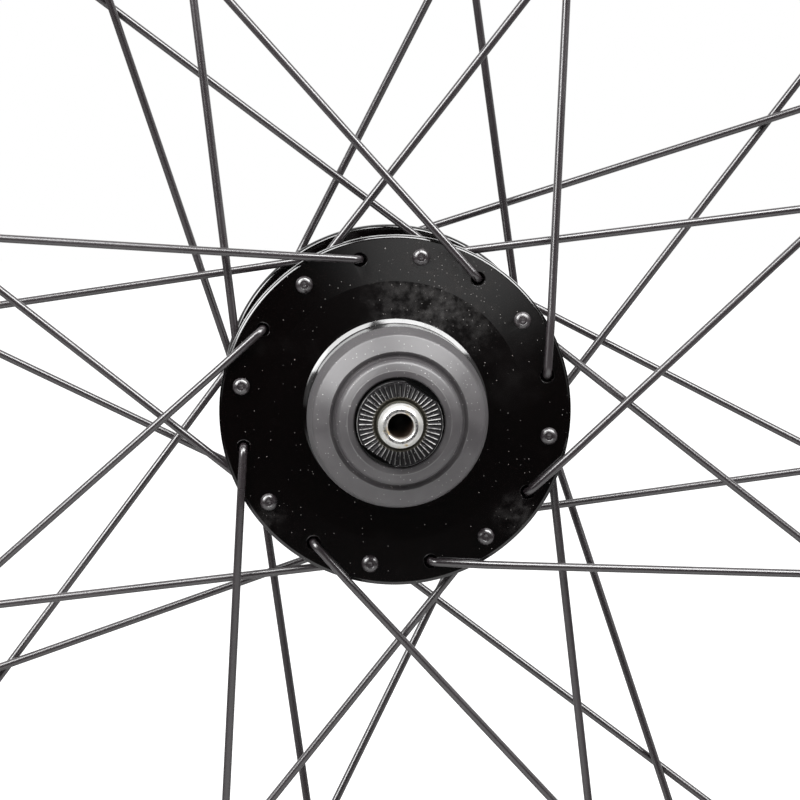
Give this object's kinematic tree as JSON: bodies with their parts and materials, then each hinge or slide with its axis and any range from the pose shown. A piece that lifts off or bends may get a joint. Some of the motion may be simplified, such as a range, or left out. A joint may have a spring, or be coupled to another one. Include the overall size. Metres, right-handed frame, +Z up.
{
  "type": "dynamo front wheel",
  "caption": "Spoked front bicycle wheel with a hub dynamo, hollow quick-release axle, toothed locknuts, rubber end cap, crossed black spokes and an aluminium rim.",
  "frame": {"origin": "centre of the wheel, on the axle's axis and midway between the locknuts' outer faces", "axes": "+Y along the axle to the connector's side, which is the bicycle's right; +Z up; -Y faces the viewer of the picture"},
  "size_m": [0.6339, 0.108, 0.634],
  "materials": {
    "hub_gloss_black": "gloss black coating on forged aluminium",
    "spoke_black": "black coated stainless wire, satin gloss",
    "boot_rubber": "matt moulded dark grey rubber",
    "seal_rubber": "black nitrile rubber",
    "dark_steel": "dark turned steel with bright tooth ridges",
    "zinc_steel": "zinc plated, slightly yellow",
    "bearing_steel": "ground bearing steel",
    "ball_steel": "polished",
    "cage_steel": "pressed sheet steel",
    "connector_plastic": "moulded black plastic",
    "terminal_brass": "bare brass",
    "lead_insulation": "lacquered insulation",
    "bobbin_plastic": "natural nylon",
    "copper_wire": "enamelled copper wire",
    "stator_iron": "pressed soft iron",
    "magnet_ferrite": "dark sintered magnet",
    "rim_black": "black anodised with machined brake tracks",
    "rim_tape_cloth": "woven cotton tape",
    "nipple_brass": "nickel plated brass"
  },
  "bodies": {
    "axle_unit": {"axle": "zinc_steel", "left_cone": "bearing_steel", "right_cone": "bearing_steel", "left_locknut": "dark_steel", "right_locknut": "dark_steel", "left_seal_boot": "boot_rubber", "right_seal_cap": "seal_rubber", "connector_block": "connector_plastic", "connector_terminals": "terminal_brass", "lead_wire": "lead_insulation", "coil_bobbin": "bobbin_plastic", "coil_winding": "copper_wire", "claw_pole_left": "stator_iron", "claw_pole_right": "stator_iron", "stator_core": "stator_iron"},
    "wheel": {"hub_shell": "hub_gloss_black", "hub_cover": "hub_gloss_black", "left_bearing_cup": "bearing_steel", "right_bearing_cup": "bearing_steel", "magnet_yoke": "stator_iron", "magnet_segments": "magnet_ferrite", "rim": "rim_black", "rim_tape": "rim_tape_cloth", "nipples": "nipple_brass", "spoke_left_01": "spoke_black", "spoke_left_02": "spoke_black", "spoke_left_03": "spoke_black", "spoke_left_04": "spoke_black", "spoke_left_05": "spoke_black", "spoke_left_06": "spoke_black", "spoke_left_07": "spoke_black", "spoke_left_08": "spoke_black", "spoke_left_09": "spoke_black", "spoke_left_10": "spoke_black", "spoke_left_11": "spoke_black", "spoke_left_12": "spoke_black", "spoke_left_13": "spoke_black", "spoke_left_14": "spoke_black", "spoke_left_15": "spoke_black", "spoke_left_16": "spoke_black", "spoke_right_01": "spoke_black", "spoke_right_02": "spoke_black", "spoke_right_03": "spoke_black", "spoke_right_04": "spoke_black", "spoke_right_05": "spoke_black", "spoke_right_06": "spoke_black", "spoke_right_07": "spoke_black", "spoke_right_08": "spoke_black", "spoke_right_09": "spoke_black", "spoke_right_10": "spoke_black", "spoke_right_11": "spoke_black", "spoke_right_12": "spoke_black", "spoke_right_13": "spoke_black", "spoke_right_14": "spoke_black", "spoke_right_15": "spoke_black", "spoke_right_16": "spoke_black"},
    "left_bearing": {"left_balls": "ball_steel", "left_ball_cage": "cage_steel"},
    "right_bearing": {"right_balls": "ball_steel", "right_ball_cage": "cage_steel"}
  },
  "joints": [
    {"name": "wheel_spin", "type": "hinge", "parent": "axle_unit", "child": "wheel", "pos_m": [0, 0, 0], "axis": [0, 1, 0], "continuous": true},
    {"name": "left_cage_spin", "type": "hinge", "parent": "axle_unit", "child": "left_bearing", "pos_m": [0, -0.0305, 0], "axis": [0, 1, 0], "continuous": true},
    {"name": "right_cage_spin", "type": "hinge", "parent": "axle_unit", "child": "right_bearing", "pos_m": [0, 0.0315, 0], "axis": [0, 1, 0], "continuous": true}
  ],
  "couplings": [
    {"joint": "left_cage_spin", "follows": "wheel_spin", "ratio": 0.5915},
    {"joint": "right_cage_spin", "follows": "wheel_spin", "ratio": 0.5915}
  ]
}
